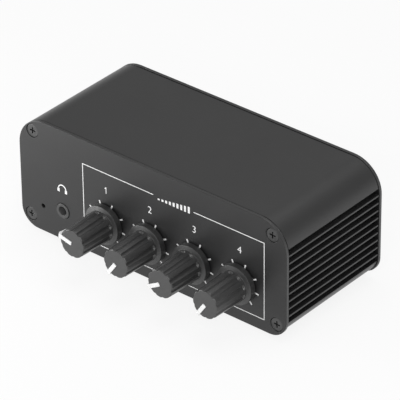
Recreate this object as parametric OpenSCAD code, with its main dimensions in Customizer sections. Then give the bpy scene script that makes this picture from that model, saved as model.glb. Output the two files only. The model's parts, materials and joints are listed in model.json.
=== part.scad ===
// Desktop stereo mixer with four level knobs, in a ribbed extruded case. Units are millimetres.
// X is to the right seen from the front, Y runs to the rear, Z is up and zero under the feet.
// The origin is the middle of the overall box, knobs and sockets included.

/* [Panels] */
// Width of the front and rear panels
panel_w = 122; // [112:0.5:140]
// Height of the front and rear panels
panel_h = 45.8; // [42:0.1:56]
// Thickness of both panels
panel_t = 1.3; // [1.2:0.1:2]
// Radius of the panels' upper corners
panel_top_r = 12.2; // [9:0.1:13]
// Radius of the panels' lower corners
panel_bottom_r = 7.5; // [6:0.1:9]
// How far the panels stand proud of the case all round
panel_overhang = 0.2; // [0.1:0.1:0.4]

/* [Case] */
// Length of the extruded case between the panels
case_len = 50.4; // [46:0.1:80]
// Radius of the case's upper corners
case_top_r = 11.6; // [8.8:0.1:12.8]
// Radius of the case's lower corners
case_bottom_r = 8.3; // [5.8:0.1:9]
// Wall of the extrusion
case_wall = 1.8; // [1.4:0.1:2.2]
// Number of grooves in each side
groove_count = 10; // [6:1:10]
// Pitch of the grooves, from rib to rib
groove_pitch = 3.05; // [2.6:0.05:3.2]
// Thickness of a rib between two grooves
rib_t = 0.7; // [0.5:0.1:1]
// Depth of the grooves
groove_depth = 2.4; // [1.6:0.1:2.6]
// Height of the lowest groove's floor edge above the panels' lower edge
groove_base = 6.6; // [6:0.1:8]

/* [Panel screws] */
// Distance of the upper screws from the panel's side
top_screw_side = 6.4; // [6:0.1:7]
// Distance of the upper screws from the panel's top
top_screw_edge = 5.3; // [5:0.1:6]
// Distance of the lower screws from the panel's side
bottom_screw_side = 4.4; // [4.2:0.1:5]
// Distance of the lower screws from the panel's lower edge
bottom_screw_edge = 5; // [4.6:0.1:5.4]
// Radius of the threaded shank
screw_r = 1.45; // [1.2:0.05:1.5]
// Length of the threaded shank
screw_len = 8; // [6:0.5:12]
// Radius of the sunk head
screw_head_r = 2.5; // [2.2:0.1:2.6]
// How far the head lies below the panel's face
screw_sink = 0.3; // [0.1:0.05:0.4]
// Ring of air around the head and in the hole
screw_gap = 0.25; // [0.1:0.05:0.3]
// Length of the cross recess
cross_len = 2.6; // [2:0.1:3]
// Width of the cross recess
cross_w = 0.6; // [0.4:0.05:0.8]
// Depth of the cross recess
cross_depth = 0.7; // [0.4:0.1:0.9]
// Material around each screw channel of the case
boss_wall = 1.1; // [0.9:0.1:1.4]

/* [Knobs] */
// Pitch of the four knobs
knob_pitch = 20.15; // [18:0.05:21.5]
// Distance of the last knob from the panel's right side
knob_side = 20.9; // [19:0.1:24]
// Height of the knob axes above the panels' lower edge
knob_z = 15.75; // [14.5:0.05:18]
// Pointer angle of knob 1, clockwise from upright
knob_1_angle = -77; // [-149:1:149]
// Pointer angle of knob 2, clockwise from upright
knob_2_angle = -145; // [-149:1:149]
// Pointer angle of knob 3, clockwise from upright
knob_3_angle = -120; // [-149:1:149]
// Pointer angle of knob 4, clockwise from upright
knob_4_angle = -146; // [-149:1:149]
// Air between a knob and the panel
knob_gap = 0.4; // [0.3:0.1:1]
// Height of a knob
knob_h = 17.8; // [15:0.1:20]
// Radius of the knob's flange
flange_r = 7.6; // [7:0.1:8.5]
// Thickness of the knob's flange
flange_t = 2.75; // [2.4:0.05:3]
// Height of the slope from the flange's rim up to the grip
flange_slope = 0.35; // [0.2:0.05:0.8]
// Radius of the knob's body where it leaves the flange
grip_low_r = 6.05; // [5.8:0.05:6.6]
// Radius of the knob's face
grip_high_r = 5.55; // [5.3:0.05:5.8]
// Chamfer around the knob's face
face_chamfer = 0.3; // [0.2:0.05:0.5]
// Number of flute places around the grip, the pointer takes one
flute_count = 10; // [8:1:12]
// Radius of a flute
flute_r = 1.3; // [1.1:0.05:1.5]
// Depth of a flute at the knob's face
flute_depth = 0.45; // [0.3:0.05:0.6]
// Depth of a flute near the flange
flute_foot_depth = 0.7; // [0.5:0.05:0.8]
// Length of the slope at the foot of a flute
flute_foot = 0.9; // [0.8:0.05:1]
// Plain band between the flange and the flutes
flute_start = 0.25; // [0.1:0.05:1]
// Width of the white pointer
pointer_w = 1.5; // [1:0.1:1.8]
// How far the pointer stands proud of the knob's face
pointer_proud = 0.3; // [0.1:0.05:0.4]
// How deep the pointer is let into the knob
pointer_depth = 0.8; // [0.6:0.1:1]
// Inner end of the pointer, from the knob's axis
pointer_inner = 0.3; // [0:0.1:1.5]
// Outer edge of the pointer's leg, from the knob's axis
pointer_reach = 6.75; // [6.2:0.05:7]
// Length of the pointer's leg down the side of the knob
pointer_leg = 4; // [3:0.5:8]
// Rounding of the pointer's outer edge
pointer_round = 1.2; // [0.6:0.1:1.5]
// How far the pointer's leg leans in towards its end
pointer_lean = 0.5; // [0.2:0.05:0.6]

/* [Potentiometers] */
// Height of the shaft above the board
pot_axis_h = 6.5; // [6.3:0.1:7]
// Width of the housing
pot_w = 9.8; // [9.6:0.1:10.5]
// Depth of the housing behind the panel
pot_depth = 10; // [9.8:0.1:12]
// Top of the housing above the shaft
pot_top = 5; // [4.9:0.1:6]
// Gap between the housing and the board
pot_standoff = 1; // [0.8:0.1:1.2]
// Front wall of the housing
pot_front_t = 1.2; // [1:0.1:1.4]
// Radius of the round space inside the housing
pot_cavity_r = 4.3; // [4.25:0.05:4.5]
// Thickness of the rear cover
pot_cover_t = 0.8; // [0.6:0.1:1.2]
// Radius of the threaded bushing
bushing_r = 3.5; // [3.4:0.05:3.7]
// How far the bushing stands out of the panel
bushing_out = 3; // [2.6:0.1:3.2]
// Radius of the shaft
shaft_r = 3; // [2.8:0.05:3.1]
// Running clearance between the shaft and the bushing
shaft_clearance = 0.05; // [0.02:0.01:0.1]
// How far the shaft stands out of the panel
shaft_out = 15; // [12:0.5:15]
// Depth of the flat on the shaft
shaft_flat = 1.5; // [1:0.1:1.8]
// Length of the flat on the shaft
shaft_flat_len = 9; // [6:0.5:10]
// Radius of the shaft's rear spigot
spigot_r = 1.5; // [1.2:0.1:1.6]
// Total turn of a potentiometer in degrees
pot_travel = 300; // [270:5:300]
// Distance across the flats of the nut
nut_flats = 9; // [8.6:0.1:9.2]
// Thickness of the nut
nut_t = 1.6; // [1.2:0.1:1.7]
// Thickness of the washer
washer_t = 0.4; // [0.3:0.05:0.5]
// Outer radius of the washer
washer_r = 5; // [4.6:0.1:5.2]

/* [Headphone socket and lamp] */
// Distance of the headphone socket from the panel's left side
phones_side = 20; // [19:0.1:22]
// Height of the headphone socket above the board
phones_axis_h = 3.05; // [2.8:0.05:3.6]
// Radius of the socket's bore
phones_bore_r = 1.8; // [1.75:0.01:1.85]
// Radius of the socket's nose
phones_nose_r = 2.95; // [2.4:0.05:3]
// Air around the nose in the panel
phones_ring = 0.2; // [0.1:0.05:0.7]
// How far the nose stands out of the panel's face
phones_proud = 0.3; // [0.1:0.05:0.6]
// Width of the socket's body
phones_w = 6.6; // [6.4:0.1:8]
// Depth of the socket's body behind the panel
phones_depth = 13; // [12:0.5:16]
// Rear wall behind the bore
phones_back_t = 0.6; // [0.5:0.1:1]
// Distance of the lamp from the panel's left side
led_side = 10.5; // [10.2:0.1:12]
// Height of the lamp above the board
led_axis_h = 1.45; // [1.3:0.05:2]
// Radius of the pin hole in front of the lamp
led_hole_r = 0.9; // [0.5:0.05:0.95]
// Radius of the lamp's lens
led_lens_r = 0.95; // [0.7:0.05:1.1]

/* [Rear sockets] */
// Pitch of the stacked pairs of phono sockets
socket_pitch = 17; // [15.5:0.1:18]
// Middle of the row of rear sockets, from the panel's middle
rear_row_x = 0; // [-1:0.1:1]
// Height of the lower sockets above the board
socket_axis_h = 6.5; // [6:0.1:8]
// Height from the lower to the upper socket of a pair
socket_rise = 13.5; // [12:0.1:14]
// Width of a socket housing
socket_w = 10; // [9.6:0.1:11.5]
// Depth of a socket housing
socket_depth = 13; // [11:0.5:14]
// Top of the housing above the upper socket
socket_top = 6; // [5:0.1:7]
// Outer radius of a socket's barrel
barrel_r = 4.15; // [4:0.05:4.2]
// Wall of the barrel
barrel_t = 0.55; // [0.4:0.05:0.7]
// How far the barrels stand out of the rear panel
barrel_out = 9; // [8:0.5:10]
// How deep the barrels sit in their housings
barrel_seat = 3; // [2:0.5:5]
// Radius of the hole for a plug's pin
contact_r = 1.6; // [1.55:0.05:1.7]
// Wall of the centre contact
contact_t = 0.3; // [0.2:0.05:0.4]
// How far the insulator lies inside the barrel's mouth
insulator_sink = 1.5; // [1:0.1:2]
// Air around a barrel in the rear panel
barrel_gap = 0.3; // [0.2:0.05:0.5]
// Clearance of the nested socket pieces
socket_clearance = 0.05; // [0.03:0.01:0.08]

/* [Power socket] */
// Distance of the power socket from the output pair
power_pitch = 16; // [14.5:0.1:18]
// Height of the power socket above the board
power_axis_h = 6.5; // [6:0.1:7.5]
// Width of the power socket
power_w = 9; // [8.8:0.1:10]
// Depth of the power socket
power_depth = 13; // [12:0.5:15]
// Top of the power socket above its axis
power_top = 4.5; // [4.2:0.1:5.5]
// Radius of the hole for the plug
power_hole_r = 3.2; // [3:0.05:3.4]
// Depth of the hole for the plug
power_hole_depth = 10; // [9:0.5:10.5]
// Radius of the centre pin
power_pin_r = 1.05; // [0.95:0.05:1.25]
// Radius of the hole in the rear panel
power_panel_r = 4; // [3.6:0.1:4.2]

/* [Board and its parts] */
// Thickness of the board
board_t = 1.6; // [1.2:0.1:2]
// Air between the board and the panels, and beside the screw channels
board_gap = 0.5; // [0.3:0.1:1]
// Clearance of the board in its slots
slot_clearance = 0.1; // [0.05:0.05:0.2]
// Thickness of the slot rails of the case
rail_t = 1.5; // [1:0.1:2]
// How far the rails reach over the board
rail_grip = 2; // [1.5:0.1:2.5]
// Radius of an electrolytic capacitor
can_r = 3.15; // [2.5:0.05:4]
// Height of an electrolytic capacitor
can_h = 11; // [7:0.5:15]
// Number of electrolytic capacitors
can_count = 6; // [3:1:8]
// Pitch of the electrolytic capacitors
can_pitch = 12; // [10:0.5:13]
// Number of amplifier chips
chip_count = 4; // [2:1:5]
// Pitch of the amplifier chips
chip_pitch = 17; // [14:0.5:19]
// Number of film capacitors
film_count = 8; // [4:1:8]
// Pitch of the film capacitors
film_pitch = 9; // [8:0.5:10]

/* [Feet] */
// Height of the rubber feet
foot_h = 2.2; // [1.5:0.1:4]
// Radius of the rubber feet
foot_r = 4.5; // [3.5:0.1:5.5]
// Distance of the feet from the panel's sides
foot_side = 16; // [15:0.5:20]
// Distance of the feet from the ends of the case
foot_end = 8; // [7:0.5:10]

/* [Hidden] */
$fn = 64;
// A little extra so that cuts run through
over = 0.5;
// Level knobs, one for each input
channel_count = 4;
// Pairs of phono sockets: one output, then the inputs
pair_count = channel_count + 1;

// Play between fixed pieces that nest, such as a knob and its shaft
nest_play = 0.02;
// Play of the screws in the channels of the case
channel_play = 0.05;
// Play of the panel and the washers around the bushings
bushing_play = 0.1;

// Overall length, so that the origin is in the middle of it
knob_out = knob_gap + knob_h + pointer_proud;
overall_len = knob_out + 2 * panel_t + case_len + barrel_out;
front_y = -overall_len / 2 + knob_out;
case_front_y = front_y + panel_t;
case_rear_y = case_front_y + case_len;
rear_y = case_rear_y + panel_t;

// Heights above the floor
panel_z = foot_h - panel_overhang;
axis_z = panel_z + knob_z;
board_top_z = axis_z - pot_axis_h;
board_low_z = board_top_z - board_t;

// The case lies inside the panels' outline
case_w = panel_w - 2 * panel_overhang;
case_h = panel_h - 2 * panel_overhang;
room_w = case_w - 2 * (groove_depth + case_wall);
room_h = case_h - 2 * case_wall;
groove_w = groove_pitch - rib_t;
channel_r = screw_r + channel_play;
boss_r = channel_r + boss_wall;

// Screw places on the panels, as x and z from the panel's middle and lower edge
screw_places = [
    for (side = [-1, 1])
        each [
            [side * (panel_w / 2 - top_screw_side), panel_h - top_screw_edge],
            [side * (panel_w / 2 - bottom_screw_side), bottom_screw_edge]
        ]
];

// Straight part of a screw and of its panel hole, behind the countersink
screw_land = 0.2;

board_half_w = panel_w / 2 - bottom_screw_side - boss_r - board_gap;
phones_x = -panel_w / 2 + phones_side;
phones_z = board_top_z + phones_axis_h;
led_x = -panel_w / 2 + led_side;
led_z = board_top_z + led_axis_h;
power_z = board_top_z + power_axis_h;
socket_z = board_top_z + socket_axis_h;

// The row of rear sockets, which starts with the power socket
rear_row_w = power_pitch + (pair_count - 1) * socket_pitch;
power_x = rear_row_x - rear_row_w / 2;

// The part of the board between the potentiometers and the rear sockets
free_front_y = case_front_y + pot_depth + pot_cover_t;
free_rear_y = case_rear_y - socket_depth;
free_mid_y = (free_front_y + free_rear_y) / 2;

// Knob measures from the panel's face
grip_start = knob_gap + flange_t;
knob_top = knob_gap + knob_h;
// Air around the nut and the bushing inside the knob
nut_space = 0.3;
nut_top = washer_t + nut_t;
nut_corner_r = nut_flats / 2 / cos(30);
// The shaft ends below the pointer, with some of the knob between them
knob_face_t = 0.8;
shaft_end = min(shaft_out, knob_top - pointer_depth - knob_face_t);
flat_start = shaft_end - shaft_flat_len;

// Underside of the potentiometers, from their axis
pot_low = pot_standoff - pot_axis_h;

// The shaft's collar behind the housing's front wall
collar_rim = 0.6;
collar_t = 0.8;
collar_gap = 0.1;
collar_back = pot_front_t + collar_gap + collar_t;

// The wiper: two discs on a hub, with contact fingers towards the wafers between them
disc_space = 0.7;
disc_r = pot_cavity_r - disc_space;
disc_t = 1;
hub_wall = 0.7;
hub_r = spigot_r + hub_wall;
spool_end_gap = 1.9;
spool_len = pot_depth - collar_back - spool_end_gap;
wafer_t = 0.8;
wafer_gap = 0.8;
wafer_hub_gap = 0.4;
finger_w = 0.6;
finger_t = 0.5;
finger_gap = 0.1;

// The wiper's tab, which meets a lug of the housing past each end of its travel
stop_tab_w = 1.4;
stop_tab_gap = 0.2;
stop_tab_r = pot_cavity_r - stop_tab_gap;
stop_slack = 2;
lug_w = 1;
lug_root = 0.3;
lug_gap = 0.25;

// Solder pins of the potentiometers, their rows given as shares of the housing's depth
pot_pin_pitch = 2.5;
pot_pin_w = 0.7;
pot_pin_rows = [0.4, 0.7];

// Windows of the headphone socket: clock angle and depth behind the panel of each contact
phones_windows = [[150, 1.2], [270, 5], [90, 9]];
phones_window_w = 1.4;
phones_window_len = 2.8;
phones_window_depth = 0.45;

// Spring contacts of the headphone and power sockets, and how far they keep off the bore
leaf_t = 0.3;
leaf_gap = 0.05;
leaf_retreat = 0.1;

// The lamp's body around and behind its lens
led_rim = 0.4;
led_half_w = led_lens_r + led_rim;
led_body_d = 1.6;
led_gap = 0.35;

// The slot rails stop short of the lamp
rail_lamp_gap = 0.25;
rail_x = max(board_half_w - rail_grip, led_half_w + rail_lamp_gap - led_x);

// The barrel's neck inside the panel and the housing is thinner than its sleeve
barrel_neck = 0.2;
barrel_neck_r = barrel_r - barrel_neck;
barrel_bore_r = barrel_r - barrel_t;
socket_back = -panel_t - barrel_seat;

// The power socket's wall behind the pin, the pin's thick root and the slot for the spring
power_back_t = 1;
power_root = 0.35;
power_pin_sink = 0.6;
power_slot_w = 2;
power_slot_t = 0.5;
power_slot_len = 6;
power_slot_in = 1;

// Small parts on the board
chip_size = [4, 5, 1.6];
film_size = [7, 2.5, 6.5];
part_gap = 0.5;
regulator_size = [10, 3.2, 9];
regulator_tab_t = 1.3;
regulator_tab_h = 15;

// The feet are a little smaller at the floor
foot_taper = 0.3;

function knob_x(k) = panel_w / 2 - knob_side - (channel_count - k) * knob_pitch;
function knob_angle(k) = [knob_1_angle, knob_2_angle, knob_3_angle, knob_4_angle][k - 1];
function socket_x(s) = power_x + power_pitch + s * socket_pitch;

// Places children on the front panel's face, with their Z axis pointing out of it
module on_front(x, z) {
    translate([x, front_y, z])
        rotate([90, 0, 0])
            children();
}

// Places children on the rear panel's face, with their Z axis pointing out of it
module on_rear(x, z) {
    translate([x, rear_y, z])
        rotate([-90, 0, 0])
            children();
}

// Places children on the axis of knob k
module at_knob(k) {
    on_front(knob_x(k), axis_z)
        children();
}

// Runs an outline drawn in X and Z from y0 to y1
module prism(y0, y1) {
    translate([0, y1, 0])
        rotate([90, 0, 0])
            linear_extrude(height = y1 - y0)
                children();
}

// A box between two corners
module block(low, high) {
    translate(low)
        cube(high - low);
}

// A tube from z0 to z1
module tube(outer, inner, z0, z1) {
    difference() {
        translate([0, 0, z0])
            cylinder(r = outer, h = z1 - z0);
        translate([0, 0, z0 - over])
            cylinder(r = inner, h = z1 - z0 + 2 * over);
    }
}

// Fills the corner of a rectangle outside its rounding, to cut it away
module corner_waste(r) {
    difference() {
        square([r + over, r + over]);
        circle(r = r);
    }
}

// A rectangle that stands on the X axis, with its own radius for the upper and lower corners
module rounded_outline(w, h, top_r, bottom_r) {
    difference() {
        translate([-w / 2, 0])
            square([w, h]);
        for (side = [0, 1])
            mirror([side, 0]) {
                translate([w / 2 - top_r, h - top_r])
                    corner_waste(top_r);
                translate([w / 2 - bottom_r, bottom_r])
                    mirror([0, 1])
                        corner_waste(bottom_r);
            }
    }
}

module case_outline() {
    translate([0, panel_z + panel_overhang])
        rounded_outline(case_w, case_h, case_top_r, case_bottom_r);
}

module room_outline() {
    translate([0, panel_z + panel_overhang + case_wall])
        rounded_outline(room_w, room_h, case_top_r - case_wall, case_bottom_r - case_wall);
}

// Ledges over and under the board's edge, on the right side
module board_rails() {
    rail_w = case_w / 2 - groove_depth - case_wall / 2 - rail_x;
    translate([rail_x, board_top_z + slot_clearance])
        square([rail_w, rail_t]);
    translate([rail_x, board_low_z - slot_clearance - rail_t])
        square([rail_w, rail_t]);
}

module side_grooves() {
    for (g = [0 : groove_count - 1])
        translate([case_w / 2 - groove_depth, panel_z + groove_base + g * groove_pitch])
            square([groove_depth + over, groove_w]);
}

module case_shell() {
    color("#2b2b2d")
        prism(case_front_y, case_rear_y)
            difference() {
                union() {
                    difference() {
                        case_outline();
                        room_outline();
                    }
                    intersection() {
                        case_outline();
                        for (p = screw_places)
                            translate([p[0], panel_z + p[1]])
                                circle(r = boss_r);
                    }
                    board_rails();
                    mirror([1, 0])
                        board_rails();
                }
                for (p = screw_places)
                    translate([p[0], panel_z + p[1]])
                        circle(r = channel_r);
                side_grooves();
                mirror([1, 0])
                    side_grooves();
            }
}

// A countersunk hole through a panel, from its face inwards
module screw_hole() {
    hole_r = screw_r + screw_gap;
    mouth_r = screw_head_r + screw_gap;
    rotate_extrude()
        polygon([
            [0, -panel_t - over], [hole_r, -panel_t - over], [hole_r, screw_land - panel_t],
            [mouth_r, -screw_sink], [mouth_r, over], [0, over]
        ]);
}

// A panel blank between two depths
module panel_blank(y0, y1) {
    prism(y0, y1)
        translate([0, panel_z])
            rounded_outline(panel_w, panel_h, panel_top_r, panel_bottom_r);
}

// A straight hole through a panel, from its face inwards
module panel_hole(r) {
    translate([0, 0, -panel_t - over])
        cylinder(r = r, h = panel_t + 2 * over);
}

module front_panel() {
    color("#3a3a3c")
        difference() {
            panel_blank(front_y, case_front_y);
            for (p = screw_places)
                on_front(p[0], panel_z + p[1])
                    screw_hole();
            for (k = [1 : channel_count])
                at_knob(k)
                    panel_hole(bushing_r + bushing_play);
            on_front(phones_x, phones_z)
                panel_hole(phones_nose_r + phones_ring);
            on_front(led_x, led_z)
                panel_hole(led_hole_r);
        }
}

module rear_panel() {
    color("#3a3a3c")
        difference() {
            panel_blank(case_rear_y, rear_y);
            for (p = screw_places)
                on_rear(p[0], panel_z + p[1])
                    screw_hole();
            for (s = [0 : pair_count - 1], level = [0, 1])
                on_rear(socket_x(s), socket_z + level * socket_rise)
                    panel_hole(barrel_r + barrel_gap);
            on_rear(power_x, power_z)
                panel_hole(power_panel_r);
        }
}

// A sunk cross-head screw, with its axis along Z and the panel's face at zero
module screw() {
    difference() {
        union() {
            translate([0, 0, screw_land - panel_t])
                cylinder(r1 = screw_r, r2 = screw_head_r, h = panel_t - screw_land - screw_sink);
            translate([0, 0, -panel_t - screw_len])
                cylinder(r = screw_r, h = screw_len + screw_land);
        }
        for (turn = [0, 90])
            rotate([0, 0, turn])
                translate([-cross_len / 2, -cross_w / 2, -screw_sink - cross_depth])
                    cube([cross_len, cross_w, cross_depth + over]);
    }
}

module front_panel_screws() {
    color("#1c1c1e")
        for (p = screw_places)
            on_front(p[0], panel_z + p[1])
                screw();
}

module rear_panel_screws() {
    color("#1c1c1e")
        for (p = screw_places)
            on_rear(p[0], panel_z + p[1])
                screw();
}

// The knob's foot: a straight rim with a slope up to the grip
module flange() {
    rim_t = flange_t - flange_slope;
    translate([0, 0, knob_gap])
        cylinder(r = flange_r, h = rim_t);
    translate([0, 0, knob_gap + rim_t])
        cylinder(r1 = flange_r, r2 = grip_low_r, h = flange_slope);
}

// The round grip: a cone with a chamfered face
module grip() {
    translate([0, 0, grip_start])
        cylinder(r1 = grip_low_r, r2 = grip_high_r, h = knob_top - face_chamfer - grip_start);
    translate([0, 0, knob_top - face_chamfer])
        cylinder(r1 = grip_high_r, r2 = grip_high_r - face_chamfer, h = face_chamfer);
}

// Flutes along the grip, each with a sloped foot and with none under the pointer
module flutes() {
    run = knob_top - grip_start;
    foot_r = grip_low_r - flute_foot_depth;
    face_r = grip_high_r - flute_depth;
    lean = atan((foot_r - face_r) / run);
    for (f = [1 : flute_count - 1])
        rotate([0, 0, f * 360 / flute_count])
            translate([0, foot_r + flute_r, grip_start])
                rotate([lean, 0, 0])
                    translate([0, 0, flute_start]) {
                        cylinder(r1 = flute_r - flute_foot, r2 = flute_r, h = flute_foot);
                        translate([0, 0, flute_foot])
                            cylinder(r = flute_r, h = run);
                    }
}

// The pointer's outline seen from the side: a bar across the face, a round bend and a leg down the grip
module pointer_outline() {
    top = knob_top + pointer_proud;
    leg_end = knob_top - pointer_leg;
    bend_z = top - pointer_round;
    difference() {
        translate([pointer_inner, leg_end])
            square([pointer_reach - pointer_inner, top - leg_end]);
        translate([pointer_inner - over, leg_end - over])
            square([grip_high_r - pointer_depth - pointer_inner + over,
                    pointer_leg - pointer_depth + over]);
        translate([pointer_reach - pointer_round, bend_z])
            corner_waste(pointer_round);
        translate([pointer_reach, bend_z])
            rotate(-atan(pointer_lean / (bend_z - leg_end)))
                translate([0, leg_end - bend_z - over])
                    square([pointer_reach, bend_z - leg_end + over]);
    }
}

// The pointer bar in the plane of the knob's axis, pointing along Y
module pointer_bar() {
    rotate([0, 0, 90])
        translate([0, pointer_w / 2, 0])
            rotate([90, 0, 0])
                linear_extrude(height = pointer_w)
                    pointer_outline();
}

// The shaft's cross-section with its flat, a little larger for the knob's bore
module flatted_round(r, flat_y, h) {
    difference() {
        cylinder(r = r, h = h);
        translate([-r - over, flat_y, -over])
            cube([2 * (r + over), 2 * r, h + 2 * over]);
    }
}

// Turns children so that what points along Y points at the knob's setting
module turned(k) {
    rotate([0, 0, -knob_angle(k)])
        children();
}

module knob(k) {
    color("#262628")
        at_knob(k)
            turned(k)
                difference() {
                    union() {
                        flange();
                        grip();
                    }
                    flutes();
                    pointer_bar();
                    translate([0, 0, knob_gap - over])
                        cylinder(r = nut_corner_r + nut_space, h = nut_top + nut_space - knob_gap + over);
                    translate([0, 0, knob_gap])
                        cylinder(r = bushing_r + nut_space, h = bushing_out + nut_space - knob_gap);
                    translate([0, 0, knob_gap])
                        cylinder(r = shaft_r + nest_play, h = flat_start - knob_gap);
                    translate([0, 0, flat_start - over])
                        flatted_round(shaft_r + nest_play, shaft_r - shaft_flat + nest_play,
                                      shaft_flat_len + nest_play + over);
                }
}

module knob_pointer(k) {
    color("#f4f4f2")
        at_knob(k)
            turned(k)
                pointer_bar();
}

module pot_shaft(k) {
    color("#b9bcc0")
        at_knob(k)
            turned(k) {
                difference() {
                    translate([0, 0, -panel_t - collar_back])
                        cylinder(r = shaft_r, h = shaft_end + panel_t + collar_back);
                    translate([-shaft_r - over, shaft_r - shaft_flat, flat_start])
                        cube([2 * (shaft_r + over), shaft_r, shaft_flat_len + over]);
                }
                translate([0, 0, -panel_t - collar_back])
                    cylinder(r = shaft_r + collar_rim, h = collar_t);
                translate([0, 0, -panel_t - collar_back - spool_len])
                    cylinder(r = spigot_r, h = spool_len);
            }
}

// Contact fingers that reach from a wiper disc towards its wafer
module fingers(z0, z1) {
    for (side = [-1, 1])
        translate([side * (disc_r - finger_w) - finger_t / 2, -finger_w / 2, min(z0, z1)])
            cube([finger_t, finger_w, abs(z1 - z0)]);
}

module pot_wiper(k) {
    front = -panel_t - collar_back;
    back = front - spool_len;
    color("#d8c9a0")
        at_knob(k)
            turned(k)
                difference() {
                    union() {
                        translate([0, 0, front - disc_t])
                            cylinder(r = disc_r, h = disc_t);
                        translate([0, 0, back])
                            cylinder(r = disc_r, h = disc_t);
                        translate([0, 0, back])
                            cylinder(r = hub_r, h = spool_len);
                        translate([-stop_tab_w / 2, 0, front - disc_t])
                            cube([stop_tab_w, stop_tab_r, disc_t]);
                        fingers(front - disc_t, front - disc_t - wafer_gap + finger_gap);
                        fingers(back + disc_t, back + disc_t + wafer_gap - finger_gap);
                    }
                    translate([0, 0, back - over])
                        cylinder(r = spigot_r + nest_play, h = spool_len + 2 * over);
                }
}

// The stops inside a housing, in the plane of the wiper's tab
module stop_lugs() {
    tab_half = asin(stop_tab_w / 2 / stop_tab_r);
    lug_half = asin(lug_w / 2 / stop_tab_r);
    lug_angle = pot_travel / 2 + tab_half + stop_slack + lug_half;
    for (side = [-1, 1])
        rotate([0, 0, side * lug_angle])
            translate([-lug_w / 2, disc_r + lug_gap, -panel_t - collar_back - disc_t])
                cube([lug_w, pot_cavity_r + lug_root - disc_r - lug_gap, disc_t]);
}

module pot_housing(k) {
    color("#4c6a58")
        at_knob(k)
            union() {
                difference() {
                    union() {
                        block([-pot_w / 2, pot_low, -panel_t - pot_depth], [pot_w / 2, pot_top, -panel_t]);
                        translate([0, 0, -panel_t - over])
                            cylinder(r = bushing_r, h = panel_t + bushing_out + over);
                    }
                    translate([0, 0, -panel_t - pot_front_t - over])
                        cylinder(r = shaft_r + shaft_clearance,
                                 h = panel_t + pot_front_t + bushing_out + 2 * over);
                    translate([0, 0, -panel_t - pot_depth - over])
                        cylinder(r = pot_cavity_r, h = pot_depth - pot_front_t + over);
                }
                stop_lugs();
            }
}

module pot_covers() {
    back = -panel_t - pot_depth;
    color("#9a9da1")
        for (k = [1 : channel_count])
            at_knob(k)
                block([-pot_w / 2, pot_low, back - pot_cover_t], [pot_w / 2, pot_top, back]);
}

module pot_wafers() {
    front = -panel_t - collar_back - disc_t - wafer_gap;
    back = -panel_t - collar_back - spool_len + disc_t + wafer_gap;
    color("#7a4a2a")
        for (k = [1 : channel_count])
            at_knob(k) {
                tube(pot_cavity_r - nest_play, hub_r + wafer_hub_gap, front - wafer_t, front);
                tube(pot_cavity_r - nest_play, hub_r + wafer_hub_gap, back, back + wafer_t);
            }
}

module pot_pins() {
    color("#c8ccd0")
        for (k = [1 : channel_count], side = [-1, 0, 1], row = pot_pin_rows)
            at_knob(k)
                translate([side * pot_pin_pitch - pot_pin_w / 2, -pot_axis_h, -panel_t - row * pot_depth])
                    cube([pot_pin_w, pot_standoff, pot_pin_w]);
}

module pot_nuts() {
    color("#c4c7cb")
        for (k = [1 : channel_count])
            at_knob(k)
                difference() {
                    translate([0, 0, washer_t])
                        cylinder(r = nut_corner_r, h = nut_t, $fn = 6);
                    translate([0, 0, washer_t - over])
                        cylinder(r = bushing_r + nest_play, h = nut_t + 2 * over);
                }
}

module pot_washers() {
    color("#d0d2d5")
        for (k = [1 : channel_count])
            at_knob(k)
                tube(washer_r, bushing_r + bushing_play, 0, washer_t);
}

module main_board() {
    color("#1f6b3a")
        block([-board_half_w, case_front_y + board_gap, board_low_z],
              [board_half_w, case_rear_y - board_gap, board_top_z]);
}

// Places children in a contact window, with Y pointing away from the bore
module at_window(window) {
    on_front(phones_x, phones_z)
        rotate([0, 0, -window[0]])
            translate([0, 0, -panel_t - window[1] - phones_window_len])
                children();
}

module phones_jack_body() {
    color("#202022")
        difference() {
            on_front(phones_x, phones_z)
                difference() {
                    union() {
                        block([-phones_w / 2, -phones_axis_h, -panel_t - phones_depth],
                              [phones_w / 2, phones_nose_r, -panel_t]);
                        translate([0, 0, -panel_t - over])
                            cylinder(r = phones_nose_r, h = panel_t + phones_proud + over);
                    }
                    translate([0, 0, -panel_t - phones_depth + phones_back_t])
                        cylinder(r = phones_bore_r, h = phones_depth + panel_t + phones_proud);
                }
            for (window = phones_windows)
                at_window(window)
                    translate([-phones_window_w / 2, 0, 0])
                        cube([phones_window_w, phones_bore_r + phones_window_depth, phones_window_len]);
        }
}

module phones_jack_contacts() {
    color("#d9d2b8")
        for (window = phones_windows)
            at_window(window)
                translate([-phones_window_w / 2 + leaf_gap, phones_bore_r + leaf_retreat, leaf_gap])
                    cube([phones_window_w - 2 * leaf_gap, leaf_t, phones_window_len - 2 * leaf_gap]);
}

module power_led() {
    lens_z = -panel_t - led_gap - led_lens_r;
    color("#dfe6ea")
        on_front(led_x, led_z) {
            block([-led_half_w, -led_axis_h, lens_z - led_body_d], [led_half_w, led_half_w, lens_z]);
            translate([0, 0, lens_z])
                sphere(r = led_lens_r);
        }
}

// A housing that carries two phono sockets, one above the other
module socket_housing(s) {
    color("#1d1d1f")
        difference() {
            block([socket_x(s) - socket_w / 2, case_rear_y - socket_depth, board_top_z],
                  [socket_x(s) + socket_w / 2, case_rear_y, socket_z + socket_rise + socket_top]);
            for (level = [0, 1])
                on_rear(socket_x(s), socket_z + level * socket_rise)
                    translate([0, 0, -panel_t - barrel_seat])
                        cylinder(r = barrel_neck_r + socket_clearance, h = barrel_seat + over);
        }
}

// Places children on every phono socket of one level, 0 below and 1 above
module at_sockets(level) {
    for (s = [0 : pair_count - 1])
        on_rear(socket_x(s), socket_z + level * socket_rise)
            children();
}

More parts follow.
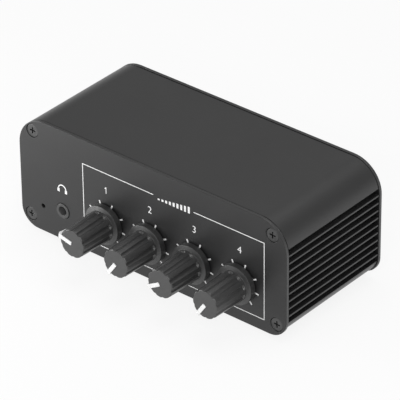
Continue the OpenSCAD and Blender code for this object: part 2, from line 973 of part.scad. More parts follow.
module barrel() {
    difference() {
        union() {
            cylinder(r = barrel_r, h = barrel_out);
            translate([0, 0, socket_back])
                cylinder(r = barrel_neck_r, h = over - socket_back);
        }
        translate([0, 0, socket_back - over])
            cylinder(r = barrel_bore_r, h = barrel_out - socket_back + 2 * over);
    }
}

module socket_barrels() {
    color("#c9ccd0")
        for (level = [0, 1])
            at_sockets(level)
                barrel();
}

module insulator() {
    tube(barrel_bore_r - socket_clearance, contact_r + contact_t + socket_clearance,
         socket_back, barrel_out - insulator_sink);
}

module socket_insulators_left() {
    color("#ecebe6")
        at_sockets(1)
            insulator();
}

module socket_insulators_right() {
    color("#c03a30")
        at_sockets(0)
            insulator();
}

module socket_contacts() {
    color("#d9b25a")
        for (level = [0, 1])
            at_sockets(level)
                tube(contact_r + contact_t, contact_r, socket_back, barrel_out - insulator_sink);
}

module power_jack_body() {
    color("#1a1a1c")
        difference() {
            block([power_x - power_w / 2, case_rear_y - power_depth, board_top_z],
                  [power_x + power_w / 2, case_rear_y, power_z + power_top]);
            on_rear(power_x, power_z) {
                translate([0, 0, -panel_t - power_hole_depth])
                    cylinder(r = power_hole_r, h = power_hole_depth + over);
                translate([0, 0, -panel_t - power_depth + power_back_t])
                    cylinder(r = power_pin_r + power_root + nest_play, h = power_depth - power_back_t);
                translate([-power_slot_w / 2, 0, -panel_t - power_slot_len - power_slot_in])
                    cube([power_slot_w, power_hole_r + power_slot_t, power_slot_len]);
            }
        }
}

module power_jack_pin() {
    root_len = power_depth - power_back_t - power_hole_depth;
    color("#c9ccd0")
        on_rear(power_x, power_z) {
            translate([0, 0, -panel_t - power_hole_depth - root_len])
                cylinder(r = power_pin_r + power_root, h = root_len);
            translate([0, 0, -panel_t - power_hole_depth])
                cylinder(r = power_pin_r, h = power_hole_depth - power_pin_sink);
        }
}

module power_jack_spring() {
    color("#d9d2b8")
        on_rear(power_x, power_z)
            translate([-power_slot_w / 2 + leaf_gap, power_hole_r + power_slot_t - leaf_t - leaf_gap,
                       -panel_t - power_slot_len - power_slot_in + leaf_gap])
                cube([power_slot_w - 2 * leaf_gap, leaf_t, power_slot_len - 2 * leaf_gap]);
}

// Stands children in a row on the board, around the middle of the free space
module board_row(count, pitch, y) {
    for (i = [0 : count - 1])
        translate([(i - (count - 1) / 2) * pitch, y, board_top_z])
            children();
}

module amplifier_chips() {
    color("#18181a")
        board_row(chip_count, chip_pitch, free_mid_y)
            translate([-chip_size[0] / 2, -chip_size[1] / 2, 0])
                cube(chip_size);
}

module electrolytic_capacitors() {
    color("#1f2740")
        board_row(can_count, can_pitch, free_mid_y + chip_size[1] / 2 + part_gap + can_r)
            cylinder(r = can_r, h = can_h);
}

module film_capacitors() {
    color("#a03028")
        board_row(film_count, film_pitch, free_mid_y - chip_size[1] / 2 - part_gap - film_size[1])
            translate([-film_size[0] / 2, 0, 0])
                cube(film_size);
}

module voltage_regulator() {
    color("#202022")
        translate([power_x - regulator_size[0] / 2, free_mid_y - regulator_size[1] / 2, board_top_z]) {
            cube(regulator_size);
            translate([0, regulator_size[1] - regulator_tab_t, 0])
                cube([regulator_size[0], regulator_tab_t, regulator_tab_h]);
        }
}

module rubber_feet() {
    color("#151516")
        for (side = [-1, 1], y = [case_front_y + foot_end, case_rear_y - foot_end])
            translate([side * (panel_w / 2 - foot_side), y, 0])
                cylinder(r1 = foot_r - foot_taper, r2 = foot_r, h = foot_h);
}

case_shell();
front_panel();
rear_panel();
front_panel_screws();
rear_panel_screws();
knob(1);  // knob_1
knob(2);  // knob_2
knob(3);  // knob_3
knob(4);  // knob_4
knob_pointer(1);  // knob_pointer_1
knob_pointer(2);  // knob_pointer_2
knob_pointer(3);  // knob_pointer_3
knob_pointer(4);  // knob_pointer_4
pot_shaft(1);  // pot_shaft_1
pot_shaft(2);  // pot_shaft_2
pot_shaft(3);  // pot_shaft_3
pot_shaft(4);  // pot_shaft_4
pot_wiper(1);  // pot_wiper_1
pot_wiper(2);  // pot_wiper_2
pot_wiper(3);  // pot_wiper_3
pot_wiper(4);  // pot_wiper_4
pot_housing(1);  // pot_housing_1
pot_housing(2);  // pot_housing_2
pot_housing(3);  // pot_housing_3
pot_housing(4);  // pot_housing_4
pot_covers();
pot_wafers();
pot_pins();
pot_nuts();
pot_washers();
main_board();
phones_jack_body();
phones_jack_contacts();
power_led();
socket_housing(0);  // output_socket_housing
socket_housing(1);  // input_socket_housing_1
socket_housing(2);  // input_socket_housing_2
socket_housing(3);  // input_socket_housing_3
socket_housing(4);  // input_socket_housing_4
socket_barrels();
socket_insulators_left();
socket_insulators_right();
socket_contacts();
power_jack_body();
power_jack_pin();
power_jack_spring();
amplifier_chips();
electrolytic_capacitors();
film_capacitors();
voltage_regulator();
rubber_feet();
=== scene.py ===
"""Looks of a desktop stereo mixer: rounded edges, finishes, panel print, studio light and camera.

The CAD frame gives every place and size, in metres: X to the right seen from the front, Y to the rear, Z up.
Roundings, print and the grain of finishes are given in millimetres, and MM turns them into metres.
"""

import json
import math

import bmesh
import bpy
from mathutils import Matrix, Vector


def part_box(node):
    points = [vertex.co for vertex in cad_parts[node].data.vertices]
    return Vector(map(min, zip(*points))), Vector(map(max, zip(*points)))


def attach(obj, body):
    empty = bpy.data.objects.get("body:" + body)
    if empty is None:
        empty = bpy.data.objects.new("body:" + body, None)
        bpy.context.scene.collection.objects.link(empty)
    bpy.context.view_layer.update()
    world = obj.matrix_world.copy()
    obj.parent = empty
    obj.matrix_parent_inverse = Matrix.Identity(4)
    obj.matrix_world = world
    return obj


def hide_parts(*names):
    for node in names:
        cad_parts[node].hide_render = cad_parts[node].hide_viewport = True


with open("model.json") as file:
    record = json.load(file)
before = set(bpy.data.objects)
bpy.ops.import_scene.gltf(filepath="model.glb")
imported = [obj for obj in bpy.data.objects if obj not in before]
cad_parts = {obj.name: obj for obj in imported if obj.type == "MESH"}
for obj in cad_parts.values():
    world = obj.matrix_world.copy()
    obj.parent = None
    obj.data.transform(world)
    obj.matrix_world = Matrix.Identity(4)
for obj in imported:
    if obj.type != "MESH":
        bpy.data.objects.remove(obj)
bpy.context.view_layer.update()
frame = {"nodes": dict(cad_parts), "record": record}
nodes = frame["nodes"]
CHANNELS = (1, 2, 3, 4)
MM = 0.001


def node_middle(node):
    """The middle of a CAD node's box at rest."""
    low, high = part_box(node)
    return (low + high) / 2


# Finishes. The middle of a noise, where most of its values lie, is what drives tone and roughness.
NOISE_LOW = 0.3
NOISE_HIGH = 0.7


class Look:
    """A principled material, built from nodes that read the piece's own coordinates."""

    def __init__(self, name, ior=1.5, metallic=0.0):
        self.material = bpy.data.materials.new(name)
        self.material.use_nodes = True
        self.tree = self.material.node_tree
        self.tree.nodes.clear()
        self.shader = self.tree.nodes.new("ShaderNodeBsdfPrincipled")
        self.shader.inputs["Metallic"].default_value = metallic
        self.shader.inputs["IOR"].default_value = ior
        output = self.tree.nodes.new("ShaderNodeOutputMaterial")
        self.join(self.shader.outputs["BSDF"], output.inputs["Surface"])
        self.place = self.tree.nodes.new("ShaderNodeTexCoord").outputs["Object"]

    def join(self, source, target):
        """Links an output to an input."""
        self.tree.links.new(source, target)

    def noise(self, size_mm, stretch=(1, 1, 1), detail=3.0):
        """Noise whose features are about size_mm across, longer where stretch is over 1."""
        mapping = self.tree.nodes.new("ShaderNodeMapping")
        mapping.inputs["Scale"].default_value = [1 / (size_mm * MM * s) for s in stretch]
        self.join(self.place, mapping.inputs["Vector"])
        noise = self.tree.nodes.new("ShaderNodeTexNoise")
        noise.inputs["Scale"].default_value = 1.0
        noise.inputs["Detail"].default_value = detail
        self.join(mapping.outputs["Vector"], noise.inputs["Vector"])
        return noise.outputs["Fac"]

    def span(self, value, low, high):
        """Maps the middle of a noise to the range from low to high."""
        node = self.tree.nodes.new("ShaderNodeMapRange")
        node.inputs["From Min"].default_value = NOISE_LOW
        node.inputs["From Max"].default_value = NOISE_HIGH
        node.inputs["To Min"].default_value = low
        node.inputs["To Max"].default_value = high
        self.join(value, node.inputs["Value"])
        return node.outputs["Result"]

    def tones(self, value, dark, light):
        """Colours the surface between two tones."""
        mix = self.tree.nodes.new("ShaderNodeMix")
        mix.data_type = "RGBA"
        mix.inputs["A"].default_value = (*dark, 1)
        mix.inputs["B"].default_value = (*light, 1)
        self.join(self.span(value, 0, 1), mix.inputs["Factor"])
        self.join(mix.outputs["Result"], self.shader.inputs["Base Color"])

    def roughness(self, value, low, high):
        """Varies the roughness between two values."""
        self.join(self.span(value, low, high), self.shader.inputs["Roughness"])

    def bump(self, value, height_mm, strength):
        """Raises a relief from a noise; several calls add up."""
        node = self.tree.nodes.new("ShaderNodeBump")
        node.inputs["Strength"].default_value = strength
        node.inputs["Distance"].default_value = height_mm * MM
        self.join(value, node.inputs["Height"])
        before = self.shader.inputs["Normal"].links
        if before:
            self.join(before[0].from_socket, node.inputs["Normal"])
        self.join(node.outputs["Normal"], self.shader.inputs["Normal"])


def grey(value, tint=0.0):
    """A grey, with a touch of blue where tint is above zero."""
    return (value, value, value * (1 + tint))


DYE_DARK = grey(0.0108, tint=0.02)
DYE_LIGHT = grey(0.0132, tint=0.02)


def anodised(name, ior, rough, streaks=False):
    """Dyed black aluminium: blasted grain, slow drift of tone and, on an extrusion, streaks along Y."""
    look = Look(name, ior=ior)
    look.tones(look.noise(size_mm=14, detail=2), DYE_DARK, DYE_LIGHT)
    look.roughness(look.noise(size_mm=0.5), *rough)
    look.bump(look.noise(size_mm=0.16, detail=2), height_mm=0.006, strength=0.35)
    if streaks:
        look.bump(look.noise(size_mm=0.25, stretch=(1, 120, 1)), height_mm=0.006, strength=0.25)
    return look.material


def moulded(name, dark, light, rough, grain_mm=0.22, ior=1.45):
    """Moulded plastic or rubber with a fine tool grain."""
    look = Look(name, ior=ior)
    look.tones(look.noise(size_mm=3), dark, light)
    look.roughness(look.noise(size_mm=0.7), *rough)
    look.bump(look.noise(grain_mm, detail=2), height_mm=0.006, strength=0.3)
    return look.material


def metal(name, dark, light, rough, stretch=(1, 1, 1)):
    """Plated or stamped metal with fine scratches along the long side of stretch."""
    look = Look(name, metallic=1.0)
    look.tones(look.noise(size_mm=2.5), dark, light)
    look.roughness(look.noise(size_mm=0.4, stretch=stretch), *rough)
    look.bump(look.noise(size_mm=0.12, stretch=stretch), height_mm=0.002, strength=0.3)
    return look.material


def clear_lens(name):
    """Clear epoxy with a slight haze, dark where nothing bright lies behind it."""
    look = Look(name)
    look.shader.inputs["Transmission Weight"].default_value = 0.9
    look.tones(look.noise(size_mm=0.8), dark=grey(0.7), light=grey(0.8))
    look.roughness(look.noise(size_mm=0.3), low=0.06, high=0.14)
    return look.material


def circuit_board(name):
    """Green solder mask over a dull laminate, with tracks as a coarse relief."""
    look = Look(name)
    tracks = {"size_mm": 1.2, "stretch": (6, 1, 1), "detail": 1}
    look.tones(look.noise(**tracks), dark=(0.012, 0.09, 0.03), light=(0.02, 0.14, 0.05))
    look.roughness(look.noise(size_mm=2), low=0.25, high=0.4)
    look.bump(look.noise(**tracks), height_mm=0.03, strength=0.4)
    return look.material


ANODISED = {
    "anodised_case": dict(ior=1.66, rough=(0.36, 0.44), streaks=True),
    "panel_black": dict(ior=1.5, rough=(0.4, 0.48)),
    "panel_rim": dict(ior=1.75, rough=(0.4, 0.48)),
}
MOULDED = {
    "knob_black": dict(dark=grey(0.024), light=grey(0.03), rough=(0.4, 0.5), ior=1.7),
    "pointer_white": dict(dark=grey(0.78), light=grey(0.86), rough=(0.3, 0.4)),
    "pot_plastic": dict(dark=(0.03, 0.06, 0.045), light=(0.045, 0.08, 0.06), rough=(0.4, 0.55)),
    "wafer_brown": dict(dark=(0.13, 0.05, 0.02), light=(0.2, 0.09, 0.035), rough=(0.5, 0.7)),
    "socket_plastic": dict(dark=grey(0.035), light=grey(0.045), rough=(0.32, 0.45), ior=1.55),
    # Painted light: the headphone bore is the socket's own black plastic, painted paler to stand for light
    # inside the hole
    "socket_bore": dict(dark=grey(0.08), light=grey(0.1), rough=(0.3, 0.4)),
    "insulator_white": dict(dark=grey(0.66), light=grey(0.75), rough=(0.35, 0.45)),
    "insulator_red": dict(dark=(0.36, 0.012, 0.01), light=(0.46, 0.02, 0.015), rough=(0.35, 0.45)),
    "chip_black": dict(dark=grey(0.015), light=grey(0.025), rough=(0.5, 0.65)),
    "can_sleeve": dict(dark=(0.008, 0.014, 0.05), light=(0.014, 0.022, 0.07), rough=(0.2, 0.3)),
    "film_red": dict(dark=(0.22, 0.02, 0.012), light=(0.3, 0.03, 0.02), rough=(0.25, 0.35)),
    "rubber_black": dict(dark=grey(0.014), light=grey(0.024), rough=(0.6, 0.75), grain_mm=0.35),
}
METALS = {
    "screw_black": dict(dark=grey(0.08), light=grey(0.11), rough=(0.3, 0.45)),
    "plated_steel": dict(dark=grey(0.5), light=grey(0.62), rough=(0.25, 0.4)),
    "contact_brass": dict(dark=(0.6, 0.42, 0.16), light=(0.75, 0.55, 0.24), rough=(0.2, 0.35)),
    "nickel": dict(dark=grey(0.6), light=grey(0.72), rough=(0.12, 0.24), stretch=(1, 6, 1)),
}
LOOKS = {"board_green": circuit_board("board_green"), "lens_clear": clear_lens("lens_clear")}
for make, table in ((anodised, ANODISED), (moulded, MOULDED), (metal, METALS)):
    LOOKS |= {name: make(name, **values) for name, values in table.items()}

SLOTS = {part["node"]: part["material_slot"] for part in frame["record"]["subparts"]}
for name, node in nodes.items():
    node.data.materials.clear()
    node.data.materials.append(LOOKS[SLOTS[name]])

# Rounded copies of the visible nodes, so that their edges catch the light
WELD = 0.002 * MM
FLAT_ANGLE = math.radians(0.5)
SHARP_ANGLE = math.radians(35)
PLANE_TOLERANCE = 0.01 * MM


def cad_copy(node):
    """A copy of a CAD node's mesh, with its vertices welded and its flat faces joined."""
    bm = bmesh.new()
    bm.from_mesh(nodes[node].data)
    bmesh.ops.remove_doubles(bm, verts=bm.verts, dist=WELD)
    bmesh.ops.dissolve_limit(bm, angle_limit=FLAT_ANGLE, verts=bm.verts, edges=bm.edges)
    return bm


def sharp_edges(bm, keep=lambda edge: True):
    """The edges whose faces meet at an angle, as far as keep takes them."""
    return [e for e in bm.edges if e.is_manifold and e.calc_face_angle() > SHARP_ANGLE and keep(e)]


def in_plane(y):
    """Takes the edges that lie in the plane at y."""
    return lambda edge: all(abs(v.co.y - y) < PLANE_TOLERANCE for v in edge.verts)


def group_width(group):
    """How far a group of edges reaches from corner to corner."""
    points = [v.co for e in group for v in e.verts]
    low = Vector(map(min, zip(*points)))
    high = Vector(map(max, zip(*points)))
    return (high - low).length


def edge_groups(edges):
    """Sorts edges into connected groups, the widest one first."""
    left = dict.fromkeys(edges)
    groups = []
    while left:
        group, front = [], [left.popitem()[0]]
        while front:
            edge = front.pop()
            group.append(edge)
            for vert in edge.verts:
                for other in vert.link_edges:
                    if other in left:
                        del left[other]
                        front.append(other)
        groups.append(group)
    return sorted(groups, key=group_width, reverse=True)


def round_edges(bm, edges, radius_mm, steps=3, profile=0.5):
    """Rounds edges; a profile of 0 cuts a step in place of a rounding."""
    bmesh.ops.bevel(bm, geom=edges, offset=radius_mm * MM, offset_type="OFFSET", segments=steps,
                    profile=profile, affect="EDGES", clamp_overlap=False, loop_slide=True)


def settle(bm, name, slot, body, stands_for=None, second_look=None):
    """Makes a piece from a bmesh: smooth across roundings, flat on flats, on its body.

    Faces with material index 1 take the second look.
    """
    mesh = bpy.data.meshes.new(name)
    bm.normal_update()
    bm.to_mesh(mesh)
    bm.free()
    mesh.shade_smooth()
    mesh.set_sharp_from_angle(angle=SHARP_ANGLE)
    mesh.materials.append(LOOKS[slot])
    if second_look:
        mesh.materials.append(LOOKS[second_look])
    piece = bpy.data.objects.new(name, mesh)
    bpy.context.scene.collection.objects.link(piece)
    weigh = piece.modifiers.new("flat_normals", "WEIGHTED_NORMAL")
    weigh.keep_sharp = True
    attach(piece, body)
    if stands_for:
        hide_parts(stands_for)


def rounded(node, body, radius_mm, steps=3):
    """Stands a copy of a node with all its edges rounded in the node's place."""
    bm = cad_copy(node)
    round_edges(bm, sharp_edges(bm), radius_mm, steps)
    settle(bm, f"{node}_look", SLOTS[node], body, node)


# The case: ribs with soft crests, and a small step at both ends that draws the seam to the panels
RIB_ROUND = 0.12
SEAM_STEP = 0.32
RIB_ZONE = 2.6


def dressed_case():
    """The case; the edges of its ribs lie within RIB_ZONE of its sides and run from end to end."""
    bm = cad_copy("case_shell")
    low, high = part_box("case_shell")
    for y in (low.y, high.y):
        outline = edge_groups(sharp_edges(bm, in_plane(y)))[0]
        round_edges(bm, outline, SEAM_STEP, steps=2, profile=0.0)

    def along_rib(edge):
        start, end = (v.co for v in edge.verts)
        beside = abs(start.x + end.x) / 2 > high.x - RIB_ZONE * MM
        return beside and abs(start.y - end.y) > (high.y - low.y) / 2

    round_edges(bm, sharp_edges(bm, along_rib), RIB_ROUND, steps=2)
    settle(bm, "case_shell_look", "anodised_case", "chassis", "case_shell")


dressed_case()

# The panels: a rounded rim that shines more than the blasted faces, and finer edges at the holes
RIM_ROUND = 0.18
HOLE_ROUND = 0.07
CUT_FACE = 0.5


def dressed_panel(node):
    """A panel; the faces that don't look along Y are its cut rim and holes, and take the second look."""
    bm = cad_copy(node)
    low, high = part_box(node)
    for y in (low.y, high.y):
        groups = edge_groups(sharp_edges(bm, in_plane(y)))
        holes = [edge for group in groups[1:] for edge in group]
        round_edges(bm, holes, HOLE_ROUND, steps=2)
        outline = edge_groups(sharp_edges(bm, in_plane(y)))[0]
        round_edges(bm, outline, RIM_ROUND, steps=4)
    bm.normal_update()
    for face in bm.faces:
        face.material_index = int(abs(face.normal.y) < CUT_FACE)
    settle(bm, f"{node}_look", "panel_black", "chassis", node, second_look="panel_rim")


dressed_panel("front_panel")
dressed_panel("rear_panel")

# White ink on the panels, drawn in millimetres as seen by someone who faces the panel
INK_RAISE = 0.03
INK_SINK = 0.01
INK_WELD = 0.001


def bar(x0, z0, x1, z1):
    """An upright rectangle."""
    return [(x0, z0), (x1, z0), (x1, z1), (x0, z1)]


# The numbers. The built-in font is thinned by a share of its own unit. It draws a 1 as a plain stroke,
# so the figure 1 has its own outline.
DIGIT_H = 2.7
DIGIT_THINNER = 0.004
ONE_HALF_STEM = 0.16
ONE_FLAG_REACH = 0.66
ONE_FLAG_DROP = 0.6
ONE_FLAG_TIP = 0.3
ONE_FLAG_BEND = 0.28
ONE_FLAG_TOP = 0.06
ONE_FLAG_UNDER = 0.06


def figure_one(x, z):
    """A figure 1 with a flag."""
    top, foot = z + DIGIT_H / 2, z - DIGIT_H / 2
    flag = top - ONE_FLAG_DROP
    return [
        (x + ONE_HALF_STEM, foot),
        (x + ONE_HALF_STEM, top),
        (x - ONE_FLAG_TOP, top),
        (x - ONE_FLAG_BEND, top - ONE_FLAG_DROP / 2),
        (x - ONE_FLAG_REACH, flag),
        (x - ONE_FLAG_REACH, flag - ONE_FLAG_TIP),
        (x - ONE_HALF_STEM, flag - ONE_FLAG_UNDER),
        (x - ONE_HALF_STEM, foot),
    ]


def add_outline(bm, outline):
    """Adds a flat face."""
    bm.faces.new([bm.verts.new((x, z, 0)) for x, z in outline])


def add_digit(bm, number, x, z):
    """Adds a number around (x, z) as flat faces."""
    if number == 1:
        add_outline(bm, figure_one(x, z))
        return
    curve = bpy.data.curves.new("digit", "FONT")
    curve.body = str(number)
    curve.offset = -DIGIT_THINNER
    holder = bpy.data.objects.new("digit", curve)
    mesh = bpy.data.meshes.new_from_object(holder)
    low = Vector(map(min, zip(*(v.co for v in mesh.vertices))))
    high = Vector(map(max, zip(*(v.co for v in mesh.vertices))))
    scale = DIGIT_H / (high.y - low.y)
    middle = (low + high) / 2
    for vert in mesh.vertices:
        vert.co = Vector(((vert.co.x - middle.x) * scale + x, (vert.co.y - middle.y) * scale + z, 0))
    bm.from_mesh(mesh)
    bpy.data.objects.remove(holder)
    bpy.data.curves.remove(curve)
    bpy.data.meshes.remove(mesh)


def ink(name, outlines, digits, face_y, outward):
    """Raises flat outlines and digits a little from a panel's face; outward is -1 in front and 1 behind."""
    bm = bmesh.new()
    for outline in outlines:
        add_outline(bm, outline)
    for number, x, z in digits:
        add_digit(bm, number, x, z)
    bmesh.ops.remove_doubles(bm, verts=bm.verts, dist=INK_WELD)
    raised = bmesh.ops.extrude_face_region(bm, geom=bm.faces[:], use_keep_orig=True)["geom"]
    tops = {v for v in raised if isinstance(v, bmesh.types.BMVert)}
    for vert in bm.verts:
        rise = INK_RAISE if vert in tops else -INK_SINK
        vert.co = Vector((-outward * vert.co.x * MM, face_y + outward * rise * MM, vert.co.y * MM))
    bmesh.ops.recalc_face_normals(bm, faces=bm.faces)
    settle(bm, name, "pointer_white", "chassis")


# The ruled frame around the dials, with a gap in its upper line
RULE_LEFT = -30.85
RULE_RIGHT = 51.25
RULE_LOW = 6.8
RULE_HIGH = 38.05
RULE_LINE = 0.3
GAP_LEFT = 1.9
GAP_RIGHT = 20.1


def ruled_frame():
    """The frame's five lines."""
    half = RULE_LINE / 2
    low, high = RULE_LOW - half, RULE_HIGH + half
    left, right = RULE_LEFT + half, RULE_RIGHT - half
    return [
        bar(left - RULE_LINE, low, left, high),
        bar(right, low, right + RULE_LINE, high),
        bar(left, low, right, low + RULE_LINE),
        bar(left, high - RULE_LINE, GAP_LEFT, high),
        bar(GAP_RIGHT, high - RULE_LINE, right, high),
    ]


# The row of bars in the frame's gap, each taller than the one before
BAR_COUNT = 9
BAR_START = 3.9
BAR_PITCH = 1.7
BAR_W = 0.9
BAR_FOOT = RULE_HIGH - 1.3
BAR_FIRST_H = 0.6
BAR_GROWTH = 0.25


def rising_bars():
    """The bars, from left to right."""
    starts = [BAR_START + i * BAR_PITCH for i in range(BAR_COUNT)]
    tops = [BAR_FOOT + BAR_FIRST_H + i * BAR_GROWTH for i in range(BAR_COUNT)]
    return [bar(x, BAR_FOOT, x + BAR_W, top) for x, top in zip(starts, tops)]


# The dials: short lines around each knob, their angles in degrees clockwise from upright. Their middle
# lies a little below the knob's, as in the photograph, and the number stands a little to the right.
TICK_ANGLES = range(-140, 141, 40)
TICK_R = 8.15
TICK_LENGTH = 1.4
TICK_LINE = 0.6
DIAL_DROP = 0.25
DIGIT_SHIFT = 0.3
DIGIT_Z = 31.1


def tick(x, z, degrees):
    """A short line that points away from a dial's middle."""
    turn = math.radians(degrees)
    out = Vector((math.sin(turn), math.cos(turn)))
    side = Vector((out.y, -out.x)) * TICK_LINE / 2
    near = Vector((x, z)) + out * (TICK_R - TICK_LENGTH / 2)
    far = near + out * TICK_LENGTH
    return [tuple(p) for p in (near - side, near + side, far + side, far - side)]


# The headphone sign above its socket: an arch and two ear cups
phones_mid = node_middle("phones_jack_body")
SIGN_Z = 23.3
SIGN_R = 1.75
SIGN_LINE = 0.45
SIGN_STEPS = 24
CUP_W = 1.0
CUP_TOP = 0.1
CUP_FOOT = -1.3


def headphone_sign():
    """The arch, then the cups at its two ends."""
    x = phones_mid.x / MM
    turns = [math.pi * i / SIGN_STEPS for i in range(SIGN_STEPS + 1)]
    outer, inner = (
        [(x + r * math.cos(t), SIGN_Z + r * math.sin(t)) for t in turns]
        for r in (SIGN_R + SIGN_LINE / 2, SIGN_R - SIGN_LINE / 2)
    )
    cups = [
        bar(end - CUP_W / 2, SIGN_Z + CUP_FOOT, end + CUP_W / 2, SIGN_Z + CUP_TOP)
        for end in (x - SIGN_R, x + SIGN_R)
    ]
    return [outer + inner[::-1], *cups]


def front_print():
    """A ruled frame around the dials, their ticks and numbers, rising bars and a headphone sign."""
    outlines = ruled_frame() + rising_bars() + headphone_sign()
    digits = []
    for k in CHANNELS:
        middle = node_middle(f"knob_{k}") / MM
        outlines += [tick(middle.x, middle.z - DIAL_DROP, angle) for angle in TICK_ANGLES]
        digits.append((k, middle.x + DIGIT_SHIFT, DIGIT_Z))
    ink("front_print", outlines, digits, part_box("front_panel")[0].y, -1)


# The print on the rear: heights of the numbers, and of the arrow head over a bar that marks the output
REAR_DIGIT_Z = 40.5
MARK_BAR = (39.2, 39.65)
MARK_BAR_HALF_W = 0.9
ARROW = (40.2, 41.9)
ARROW_HALF_W = 1.1


def rear_print():
    """The inputs' numbers and the output's mark above their sockets; X runs the other way behind."""
    digits = [(k, -node_middle(f"input_socket_housing_{k}").x / MM, REAR_DIGIT_Z) for k in CHANNELS]
    x = -node_middle("output_socket_housing").x / MM
    outlines = [
        bar(x - MARK_BAR_HALF_W, MARK_BAR[0], x + MARK_BAR_HALF_W, MARK_BAR[1]),
        [(x - ARROW_HALF_W, ARROW[0]), (x + ARROW_HALF_W, ARROW[0]), (x, ARROW[1])],
    ]
    ink("rear_print", outlines, digits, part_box("rear_panel")[1].y, 1)


front_print()
rear_print()

# The headphone socket: the wall of its bore is painted paler than its nose, a painted light that stands for
# the light reaching into the hole
PHONES_ROUND = 0.15
BORE_R = 1.87 * MM


def dressed_phones():
    """The socket; the faces that lie within BORE_R of its axis take the second look, a paler grey that
    paints light into the bore.
    """
    bm = cad_copy("phones_jack_body")
    round_edges(bm, sharp_edges(bm), PHONES_ROUND)
    for face in bm.faces:
        away = [math.hypot(v.co.x - phones_mid.x, v.co.z - phones_mid.z) for v in face.verts]
        face.material_index = int(max(away) < BORE_R)
    settle(bm, "phones_jack_body_look", "socket_plastic", "chassis", "phones_jack_body",
           second_look="socket_bore")


dressed_phones()

# The other pieces whose edges show
KNOB_ROUND = 0.1
POINTER_ROUND = 0.12
SCREW_ROUND = 0.06
FOOT_ROUND = 0.35
BARREL_ROUND = 0.12

for k in CHANNELS:
    rounded(f"knob_{k}", f"level_knob_{k}", KNOB_ROUND)
    rounded(f"knob_pointer_{k}", f"level_knob_{k}", POINTER_ROUND)
for node in ("front_panel_screws", "rear_panel_screws"):
    rounded(node, "chassis", SCREW_ROUND, steps=2)
rounded("rubber_feet", "chassis", FOOT_ROUND)
rounded("socket_barrels", "chassis", BARREL_ROUND)

# Floor and backdrop in one: white to the camera and in reflections, with a light shadow left on it
FLOOR_R = 3.0
FLOOR_SEGMENTS = 96
FLOOR_TONE = 0.86
FLOOR_ROUGH = 0.9
RIM_R = 0.5
RIM_STEPS = 10
WHITE_SHARE = 0.86


def floor_mesh():
    """A disc whose rim curves up, so that low views have it behind the object too."""
    bends = [math.pi / 2 * i / RIM_STEPS for i in range(RIM_STEPS + 1)]
    profile = [(FLOOR_R + RIM_R * math.sin(t), RIM_R * (1 - math.cos(t))) for t in bends]
    turns = [math.tau * i / FLOOR_SEGMENTS for i in range(FLOOR_SEGMENTS)]
    bm = bmesh.new()
    rings = [[bm.verts.new((r * math.cos(a), r * math.sin(a), z)) for a in turns] for r, z in profile]
    bm.faces.new(rings[0])
    for low, high in zip(rings, rings[1:]):
        for i in range(FLOOR_SEGMENTS):
            bm.faces.new((low[i - 1], low[i], high[i], high[i - 1])).smooth = True
    mesh = bpy.data.meshes.new("floor")
    bm.to_mesh(mesh)
    bm.free()
    return mesh


def floor_material():
    """Dull white that glows for the camera, for reflections and behind clear pieces."""
    material = bpy.data.materials.new("floor_white")
    material.use_nodes = True
    tree = material.node_tree
    shader = tree.nodes["Principled BSDF"]
    shader.inputs["Base Color"].default_value = (*grey(FLOOR_TONE), 1)
    shader.inputs["Roughness"].default_value = FLOOR_ROUGH
    shader.inputs["Specular IOR Level"].default_value = 0.0
    glow = tree.nodes.new("ShaderNodeEmission")
    glow.inputs["Strength"].default_value = 1.0
    rays = tree.nodes.new("ShaderNodeLightPath")
    seen = rays.outputs["Is Camera Ray"]
    for kind in ("Is Glossy Ray", "Is Transmission Ray"):
        either = tree.nodes.new("ShaderNodeMath")
        either.operation = "MAXIMUM"
        tree.links.new(seen, either.inputs[0])
        tree.links.new(rays.outputs[kind], either.inputs[1])
        seen = either.outputs[0]
    share = tree.nodes.new("ShaderNodeMath")
    share.operation = "MULTIPLY"
    share.inputs[1].default_value = WHITE_SHARE
    tree.links.new(seen, share.inputs[0])
    mix = tree.nodes.new("ShaderNodeMixShader")
    tree.links.new(share.outputs[0], mix.inputs["Fac"])
    tree.links.new(shader.outputs["BSDF"], mix.inputs[1])
    tree.links.new(glow.outputs["Emission"], mix.inputs[2])
    tree.links.new(mix.outputs["Shader"], tree.nodes["Material Output"].inputs["Surface"])
    return material


floor = bpy.data.objects.new("floor", floor_mesh())
floor.data.materials.append(floor_material())
bpy.context.scene.collection.objects.link(floor)

# Studio light: a soft lamp low and near on the left in front, a fill on the right, a large soft lamp
# above, and an even sky. The lamps and the camera aim at one point.
AIM = Vector((0, 4.55, 24.9)) * MM
LAMPS = {
    "key_left": dict(place=(-0.2, -0.15, 0.03), size=0.1, power=0.45),
    "fill_right": dict(place=(0.4, -0.5, 0.45), size=0.3, power=2.0),
    "overhead": dict(place=(0.1, 0.15, 1.1), size=0.9, power=4.0),
}
SKY_STRENGTH = 0.46


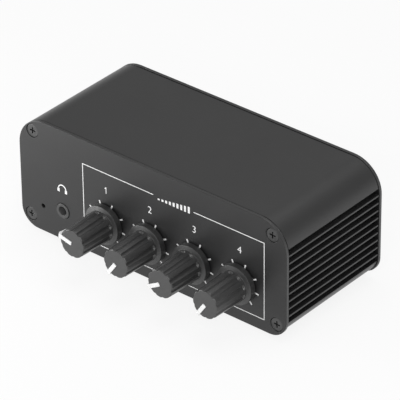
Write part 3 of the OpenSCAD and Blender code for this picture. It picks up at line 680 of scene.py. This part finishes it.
def soft_lamp(name, place, size, power):
    """A round area lamp that faces the object."""
    lamp = bpy.data.lights.new(name, "AREA")
    lamp.shape = "DISK"
    lamp.size = size
    lamp.energy = power
    holder = bpy.data.objects.new(name, lamp)
    holder.location = place
    holder.rotation_mode = "QUATERNION"
    holder.rotation_quaternion = (AIM - Vector(place)).to_track_quat("-Z", "Y")
    bpy.context.scene.collection.objects.link(holder)


for name, values in LAMPS.items():
    soft_lamp(name, **values)

world = bpy.data.worlds.new("studio")
world.use_nodes = True
sky = world.node_tree.nodes["Background"]
sky.inputs["Color"].default_value = (1, 1, 1, 1)
sky.inputs["Strength"].default_value = SKY_STRENGTH
bpy.context.scene.world = world

# Camera, solved from the photograph: angles in degrees, distance in metres, focal length and axis in pixels
CAM_AZIMUTH = 40.238
CAM_ELEVATION = 32.020
CAM_ROLL = -0.672
CAM_DISTANCE = 1.19998
CAM_FOCAL_PX = 3394.58
CAM_AXIS_PX = (198.173, 193.635)
PICTURE_PX = 400
SENSOR_MM = 36


def photo_camera():
    """Sets the camera where the photograph was taken from."""
    azimuth, elevation, roll = (math.radians(v) for v in (CAM_AZIMUTH, CAM_ELEVATION, CAM_ROLL))
    back = Vector((math.sin(azimuth) * math.cos(elevation), -math.cos(azimuth) * math.cos(elevation),
                   math.sin(elevation)))
    level = Vector((0, 0, 1)).cross(back).normalized()
    upright = back.cross(level)
    right = level * math.cos(roll) + upright * math.sin(roll)
    up = upright * math.cos(roll) - level * math.sin(roll)
    data = bpy.data.cameras.new("photo_camera")
    data.sensor_width = SENSOR_MM
    data.lens = CAM_FOCAL_PX / PICTURE_PX * SENSOR_MM
    data.shift_x = (PICTURE_PX / 2 - CAM_AXIS_PX[0]) / PICTURE_PX
    data.shift_y = (CAM_AXIS_PX[1] - PICTURE_PX / 2) / PICTURE_PX
    camera = bpy.data.objects.new("photo_camera", data)
    turn = Matrix((right, up, back)).transposed().to_4x4()
    camera.matrix_world = Matrix.Translation(AIM + back * CAM_DISTANCE) @ turn
    bpy.context.scene.collection.objects.link(camera)
    bpy.context.scene.camera = camera


photo_camera()
bpy.context.scene.view_settings.view_transform = "Standard"

bpy.context.view_layer.update()
